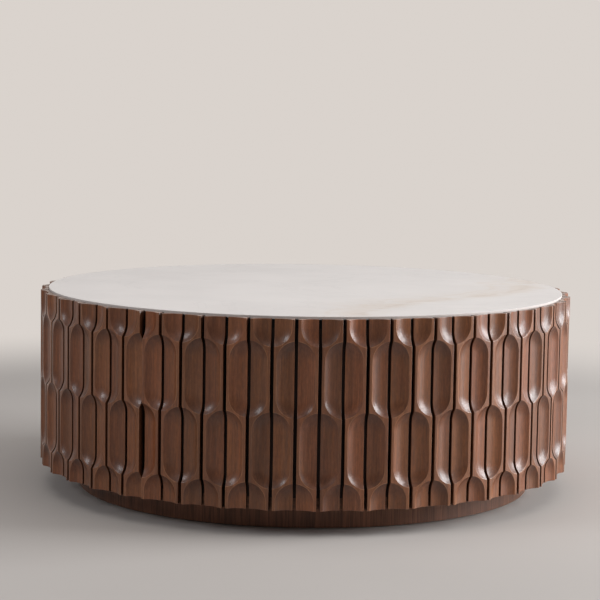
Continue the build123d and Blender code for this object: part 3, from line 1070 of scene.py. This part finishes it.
def stone_finish(colours):
    """Honed off-white stone with one soft gold vein, fainter threads and painted shade below its top face.
    """
    finish = Finish("top_stone", specular_ior_level=0.16)
    place = finish.place()
    patches = pattern(SPECKLE, place, per_metre=5.0)
    sway = place.noise(5.0, detail=3.0, roughness=0.6)
    flutter = place.noise(26.0, detail=4.0, roughness=0.6)
    blotch = place.moved((3.0, 1.0, 0.0)).noise(13.0, detail=4.0, roughness=0.65)
    x, y, z = place.parts()
    body = patches["Patch"].stretch(0.3, 0.7).mix(rgba(colours.stone, 0.97), rgba(colours.stone, 1.02))

    # The vein bends from the front edge to the right, and fades in and out
    vein_x = y * VEIN_LEAN + y.stretch(*VEIN_BEND, *VEIN_ACROSS)
    offset = x - vein_x + (sway - 0.5) * VEIN_SWAY + (flutter - 0.5) * VEIN_FLUTTER
    worn_away = blotch.stretch(0.35, 0.62, 0.15, 1.0)
    band = abs(offset).fade(*VEIN_BAND) * worn_away
    core = abs(offset).fade(0.0, VEIN_CORE) * worn_away
    # A thinner strand leaves the vein and comes back to it
    strand = abs(sway * STRAND_SWAY + offset).fade(0.0, STRAND_WIDTH) * worn_away
    # A faint tint spreads to the left of the vein
    halo = offset.stretch(*HALO_START) * offset.fade(0.0, HALO_END) * blotch.stretch(0.3, 0.7, 0.05, 0.35)
    tint = rgba(colours.vein_tint)
    body = halo.mix(body, tint)
    body = (band * 0.55).mix(body, tint)
    body = (strand * 0.40).mix(body, tint)
    body = (core * 0.16).mix(body, rgba(colours.vein))

    thread = abs(place.noise(2.1, detail=5.0, roughness=0.6, distortion=1.2) - 0.5)
    body = thread.stretch(0.0, THREAD_WIDTH, 0.10, 0.0).mix(body, rgba(colours.stone, 0.65))
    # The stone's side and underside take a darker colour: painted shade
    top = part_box("stone_top")[1].z
    edge = z.fade(*(top - below for below in SHADED_EDGE))
    finish.feed("Base Color", edge.mix(body, rgba(colours.stone_edge_shade)))
    finish.feed("Roughness", patches["Grain"] * 0.10 + 0.56 + edge * 0.1)
    return finish.material


def board_finish(name, colour, roughness):
    """A lacquered or painted board with a slightly uneven coat."""
    finish = Finish(name, specular_ior_level=0.2)
    patches = pattern(SPECKLE, finish.place(), per_metre=14.0)
    finish.feed("Base Color", patches["Patch"].mix(rgba(colour, 0.8), rgba(colour, 1.2)))
    finish.feed("Roughness", patches["Grain"] * 0.2 + (roughness - 0.1))
    finish.bump(patches["Grain"], distance=0.0001, strength=0.4)
    return finish.material


def plywood_finish():
    """Raw birch plywood, its plies light and dark in turn."""
    finish = Finish("birch_plywood", roughness=0.62)
    place = finish.place()
    fibre = pattern(FIBRE, laid_down(place), per_metre=260.0)
    up = place.parts()[2]
    dark = up.math("PINGPONG", PLY_THICKNESS).stretch(*PLY_EDGE, 0.0, 0.35)
    finish.feed("Base Color", dark.mix(fibre["Band"].mix(*BIRCH), BIRCH_ACROSS))
    finish.bump(fibre["Height"], distance=0.0001, strength=0.4)
    return finish.material


def zinc_finish():
    """Zinc plating, a little cloudy."""
    finish = Finish("zinc_plate", metallic=1.0)
    patches = pattern(SPECKLE, finish.place(), per_metre=120.0)
    finish.feed("Base Color", patches["Patch"].mix(*ZINC))
    finish.feed("Roughness", patches["Patch"] * 0.3 + 0.2)
    return finish.material


def moulded_finish(name, colour, roughness):
    """Moulded plastic or silicone with a fine spark-eroded skin."""
    finish = Finish(name, roughness=roughness)
    patches = pattern(SPECKLE, finish.place(), per_metre=40.0)
    finish.feed("Base Color", patches["Patch"].mix(rgba(colour, 0.8), rgba(colour, 1.25)))
    finish.bump(patches["Grain"], distance=0.00008, strength=0.5)
    return finish.material


def make_materials(colours):
    """The material of each of the record's slots."""
    return {
        "slat_wood": walnut_finish(colours),
        "plinth_veneer": veneer_finish(
            "plinth_veneer", colours.plinth, streaks=340.0, roughness=0.48, leaf_width=0.27, shine=0.35
        ),
        "shell_veneer": veneer_finish("shell_veneer", (0.022, 0.009, 0.006), streaks=300.0, roughness=0.7),
        "base_board": veneer_finish(
            "base_board", (0.16, 0.068, 0.038), streaks=200.0, roughness=0.6, upright=False
        ),
        "deck_board": board_finish("deck_board", (0.004, 0.0035, 0.0035), roughness=0.7),
        "carcass_ply": plywood_finish(),
        "stone": stone_finish(colours),
        "silicone": moulded_finish("clear_silicone", (0.6, 0.6, 0.57), roughness=0.45),
        "pad_plastic": moulded_finish("black_nylon", (0.018, 0.018, 0.019), roughness=0.55),
        "zinc_screw": zinc_finish(),
        "zinc_steel": zinc_finish(),
    }


def finish_of(slot):
    return bpy.data.materials[MATERIAL_NAMES[slot]]


# Operators


class MakeFinishes(bpy.types.Operator):
    """Makes the materials of every piece"""

    bl_idname = "drum_table.make_finishes"
    bl_label = "Finishes"

    def execute(self, context):
        make_fibre_group()
        make_speckle_group()
        for slot, material in make_materials(context.scene.drum_table_colours).items():
            MATERIAL_NAMES[slot] = material.name
        return {"FINISHED"}


class DressCarcass(bpy.types.Operator):
    """Finishes the deck, shell, ribs, post, base, rails and blocks"""

    bl_idname = "drum_table.dress_carcass"
    bl_label = "Carcass and plinth"

    def execute(self, context):
        for part in frame["record"]["subparts"]:
            for slot in frame["nodes"][part["node"]].material_slots:
                slot.material = finish_of(part["material_slot"])
        return {"FINISHED"}


class MakeSlats(bpy.types.Operator):
    """Carves a slat of each hand and sets them round both halves of the drum"""

    bl_idname = "drum_table.make_slats"
    bl_label = "Carved slats"

    def execute(self, context):
        settings = context.scene.drum_table_slats
        shape = SlatShape(settings)
        masters = {
            "Left-Hand Slat": new_piece("left_slat_master", SlatBuilder(shape, -1).build("left_slat")),
            "Right-Hand Slat": new_piece("right_slat_master", SlatBuilder(shape, 1).build("right_slat")),
        }
        tree = slat_ring_tree()
        panels_per_half = PANEL_COUNT // HALF_COUNT
        for half in range(HALF_COUNT):
            name = f"carved_slats_{half + 1}"
            values = {
                **masters,
                "Slats": settings.slats_per_half,
                "First Angle": seam_angle() + half * math.pi + shape.pitch / 2.0,
                "Pitch": shape.pitch,
                "Seed": settings.seed + half,
                "Wood": finish_of("slat_wood"),
            }
            ring = new_piece(name, plain_mesh_of(name, tree, values))
            panels = range(half * panels_per_half + 1, (half + 1) * panels_per_half + 1)
            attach(ring, TABLE_BODY)
            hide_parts(*(f"{hand}_hand_slats_{p}" for hand in ("left", "right") for p in panels))
        for master in masters.values():
            bpy.data.objects.remove(master)
        return {"FINISHED"}


class MakeStoneTop(bpy.types.Operator):
    """Makes the stone slab with softly rounded edges"""

    bl_idname = "drum_table.make_stone_top"
    bl_label = "Stone top"

    def execute(self, context):
        settings = context.scene.drum_table_stone
        low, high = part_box("stone_top")
        radius = node_radius("stone_top")
        lower = quarter_round(settings.lower_arris, LOWER_EDGE_STEPS)
        upper = quarter_round(settings.arris, UPPER_EDGE_STEPS)
        profile = [(0.0, low.z), (radius - LOWER_FLAT * settings.lower_arris, low.z)]
        profile += [(radius - inwards, low.z + rise) for inwards, rise in lower]
        profile += [(radius - inwards, high.z - fall) for inwards, fall in reversed(upper)]
        profile += [(radius - UPPER_FLAT * settings.arris, high.z), (0.0, high.z)]
        surface = Surface()
        add_rings(surface, profile, STONE_STEPS)
        slab = new_piece("stone_slab", surface.mesh("stone_slab"), finish_of("stone"))
        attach(slab, TABLE_BODY)
        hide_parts("stone_top")
        return {"FINISHED"}


class MakeScrews(bpy.types.Operator):
    """Sets cross-head screws where they show under the base and in the plinth"""

    bl_idname = "drum_table.make_screws"
    bl_label = "Screws"

    def execute(self, context):
        settings = context.scene.drum_table_screws
        head = settings.head_radius
        shank = settings.shank_radius
        pan = settings.pan_height
        pan_head = [(head * radius, pan * height) for radius, height in PAN_HEAD]
        profiles = {
            "base_screws": [(head - HEAD_EASE, 0.0), (head, HEAD_EASE), (shank, head - shank)],
            "plinth_screws": pan_head + [(shank, pan)],
        }
        tree = copies_tree()
        for node, profile in profiles.items():
            places = solid_places(node)
            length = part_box(node)[1].z - min(place[2] for place in places)
            start = bpy.data.meshes.new(node + "_places")
            start.from_pydata(places, [], [])
            master = new_piece(node + "_master", screw_mesh(node + "_master", settings, profile, length))
            values = {"Piece": master, "Seed": settings.seed, "Material": finish_of("zinc_screw")}
            name = "cross_head_" + node
            screws = new_piece(name, plain_mesh_of(name, tree, values, start))
            bpy.data.objects.remove(master)
            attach(screws, TABLE_BODY)
            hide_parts(node)
        return {"FINISHED"}


class MakeStuds(bpy.types.Operator):
    """Cuts the threaded studs of the levelling feet"""

    bl_idname = "drum_table.make_studs"
    bl_label = "Threaded studs"

    def execute(self, context):
        settings = context.scene.drum_table_feet
        for foot in range(1, FOOT_COUNT + 1):
            name = f"threaded_stud_{foot}"
            stud = new_piece(name, StudShape(settings, foot).mesh(name), finish_of("zinc_steel"))
            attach(stud, f"stud_{foot}")
            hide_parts(f"foot_stud_{foot}")
        return {"FINISHED"}


class MakeStage(bpy.types.Operator):
    """Makes the floor, the lamps, the world and the camera"""

    bl_idname = "drum_table.make_stage"
    bl_label = "Stage"

    def execute(self, context):
        colours = context.scene.drum_table_colours
        make_floor(colours)
        make_world(context.scene, colours)
        make_lamps()
        make_camera(context.scene)
        context.scene.view_settings.view_transform = "Standard"
        return {"FINISHED"}


# Stage

FLOOR_RADIUS = 2.8
FLOOR_STEPS = 96
FLOOR_FADE = (1.5, 2.6)  # the floor turns into the backdrop between these distances from the table
AMBIENT = (0.97, 0.98, 1.0)
AMBIENT_STRENGTH = 0.18
BACKDROP_FADE = (0.2, 0.7)  # how far towards +Y a reflection looks where the backdrop begins and is whole

# The camera: its place, turn to the left, tilt down and roll, its focal length and its sensor
CAMERA_PLACE = (0.0118, -4.1652, 0.8328)
CAMERA_YAW = 0.0055
CAMERA_PITCH = 0.1077
CAMERA_ROLL = 0.0153
CAMERA_LENS = 119.89  # in millimetres
CAMERA_SENSOR = 36.0  # its width in millimetres

# Name, place, aim, width, height, power in watts and colour of each soft lamp
LAMPS = (
    ("window", (4.55, 0.13, 1.90), (0.0, 0.0, 0.2), 2.9, 2.1, 274.0, (0.94, 0.97, 1.0)),
    ("low window", (4.1, 0.0, 0.50), (0.0, 0.0, 0.1), 2.8, 0.8, 46.0, (0.94, 0.97, 1.0)),
    ("ceiling", (0.1, -0.5, 3.3), (0.0, 0.0, 0.2), 3.4, 2.6, 42.0, (1.0, 0.98, 0.96)),
    ("side", (-3.43, -1.69, 2.30), (-0.2, -0.45, 0.25), 1.3, 1.3, 39.0, (0.92, 0.95, 1.0)),
)


def looked_at(tree):
    """Whether a ray comes from the camera, and whether from a reflection or through glass."""
    ray = values_of(add_node(tree, "ShaderNodeLightPath"))
    return ray["Is Camera Ray"], ray["Is Glossy Ray"].math("MAXIMUM", ray["Is Transmission Ray"])


def make_floor(colours):
    """A pale round floor that turns into the backdrop far from the table."""
    finish = Finish("pale_floor", roughness=0.75, specular_ior_level=0.2)
    tree = finish.tree
    place = finish.place()
    backdrop_colour = rgba(colours.backdrop)
    far = place.scaled((1.0, 1.0, 0.0)).length().stretch(*FLOOR_FADE)
    patches = pattern(SPECKLE, place, per_metre=2.0)
    near_colour = patches["Patch"].mix(rgba(colours.floor, 0.97), rgba(colours.floor, 1.03))
    finish.feed("Base Color", far.mix(near_colour, backdrop_colour))
    backdrop = add_node(tree, "ShaderNodeEmission", {"Color": backdrop_colour})
    direct, mirrored = looked_at(tree)
    seen = far * direct.math("MAXIMUM", mirrored)
    shaders = {1: Value(finish.shader.outputs[0]), 2: Value(backdrop.outputs[0])}
    both = seen.through("ShaderNodeMixShader", shaders)
    tree.links.new(both.socket, tree.nodes["Material Output"].inputs["Surface"])
    surface = Surface()
    surface.face([surface.vertex(point) for point in circle(FLOOR_RADIUS, 0.0, FLOOR_STEPS)])
    floor = new_piece("floor", surface.mesh("floor"), finish.material)
    floor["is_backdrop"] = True


def make_world(scene, colours):
    """Even pale light, and the backdrop's colour where the camera or a reflection looks past the floor."""
    world = bpy.data.worlds.new("studio")
    scene.world = world
    world.use_nodes = True
    tree = world.node_tree
    background = tree.nodes["Background"]
    direct, mirrored = looked_at(tree)
    ahead = source(tree, "ShaderNodeTexCoord", "Generated").parts()[1]
    seen = direct.math("MAXIMUM", mirrored * ahead.stretch(*BACKDROP_FADE))
    colour = seen.mix(rgba(AMBIENT), rgba(colours.backdrop))
    strength = seen * (1.0 - AMBIENT_STRENGTH) + AMBIENT_STRENGTH
    tree.links.new(colour.socket, background.inputs["Color"])
    tree.links.new(strength.socket, background.inputs["Strength"])


def make_lamps():
    for name, place, aim, width, height, power, colour in LAMPS:
        data = bpy.data.lights.new(name, "AREA")
        data.shape = "RECTANGLE"
        data.size = width
        data.size_y = height
        data.energy = power
        data.color = colour
        lamp = new_piece(name, data)
        lamp.location = place
        lamp.visible_camera = False
        lamp.rotation_euler = (Vector(aim) - Vector(place)).to_track_quat("-Z", "Y").to_euler()


def make_camera(scene):
    data = bpy.data.cameras.new("camera")
    data.sensor_width = CAMERA_SENSOR
    data.lens = CAMERA_LENS
    camera = new_piece("camera", data)
    turn = Matrix.Rotation(CAMERA_YAW, 4, "Z") @ Matrix.Rotation(math.pi / 2.0 - CAMERA_PITCH, 4, "X")
    camera.matrix_world = Matrix.Translation(CAMERA_PLACE) @ turn @ Matrix.Rotation(CAMERA_ROLL, 4, "Z")
    scene.camera = camera


# Panel and registration


class DrumTablePanel(bpy.types.Panel):
    """Lists the steps that make the table"""

    bl_idname = "VIEW3D_PT_drum_table"
    bl_label = "Drum table"
    bl_space_type = "VIEW_3D"
    bl_region_type = "UI"
    bl_category = "Drum table"

    def draw(self, context):
        for operator in OPERATORS:
            self.layout.operator(operator.bl_idname)
        for group in SETTINGS:
            box = self.layout.box()
            settings = getattr(context.scene, group)
            for name in settings.bl_rna.properties.keys():
                if name not in ("rna_type", "name"):
                    box.prop(settings, name)


OPERATORS = (MakeFinishes, DressCarcass, MakeSlats, MakeStoneTop, MakeScrews, MakeStuds, MakeStage)
SETTINGS = {
    "drum_table_slats": SlatSettings,
    "drum_table_colours": ColourSettings,
    "drum_table_stone": StoneSettings,
    "drum_table_feet": FootSettings,
    "drum_table_screws": ScrewSettings,
}


def register():
    for name, group in SETTINGS.items():
        bpy.utils.register_class(group)
        setattr(bpy.types.Scene, name, PointerProperty(type=group))
    for operator in OPERATORS:
        bpy.utils.register_class(operator)
    bpy.utils.register_class(DrumTablePanel)


def unregister():
    bpy.utils.unregister_class(DrumTablePanel)
    for operator in reversed(OPERATORS):
        bpy.utils.unregister_class(operator)
    for name, group in reversed(SETTINGS.items()):
        delattr(bpy.types.Scene, name)
        bpy.utils.unregister_class(group)


def main():
    register()
    bpy.ops.drum_table.make_finishes()
    bpy.ops.drum_table.dress_carcass()
    bpy.ops.drum_table.make_slats()
    bpy.ops.drum_table.make_stone_top()
    bpy.ops.drum_table.make_screws()
    bpy.ops.drum_table.make_studs()
    bpy.ops.drum_table.make_stage()
    sizes = {"cad": cad_bounds, "visual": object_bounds()}
    {name: [list(corner) for corner in box] for name, box in sizes.items()}


if __name__ == "__main__":
    main()
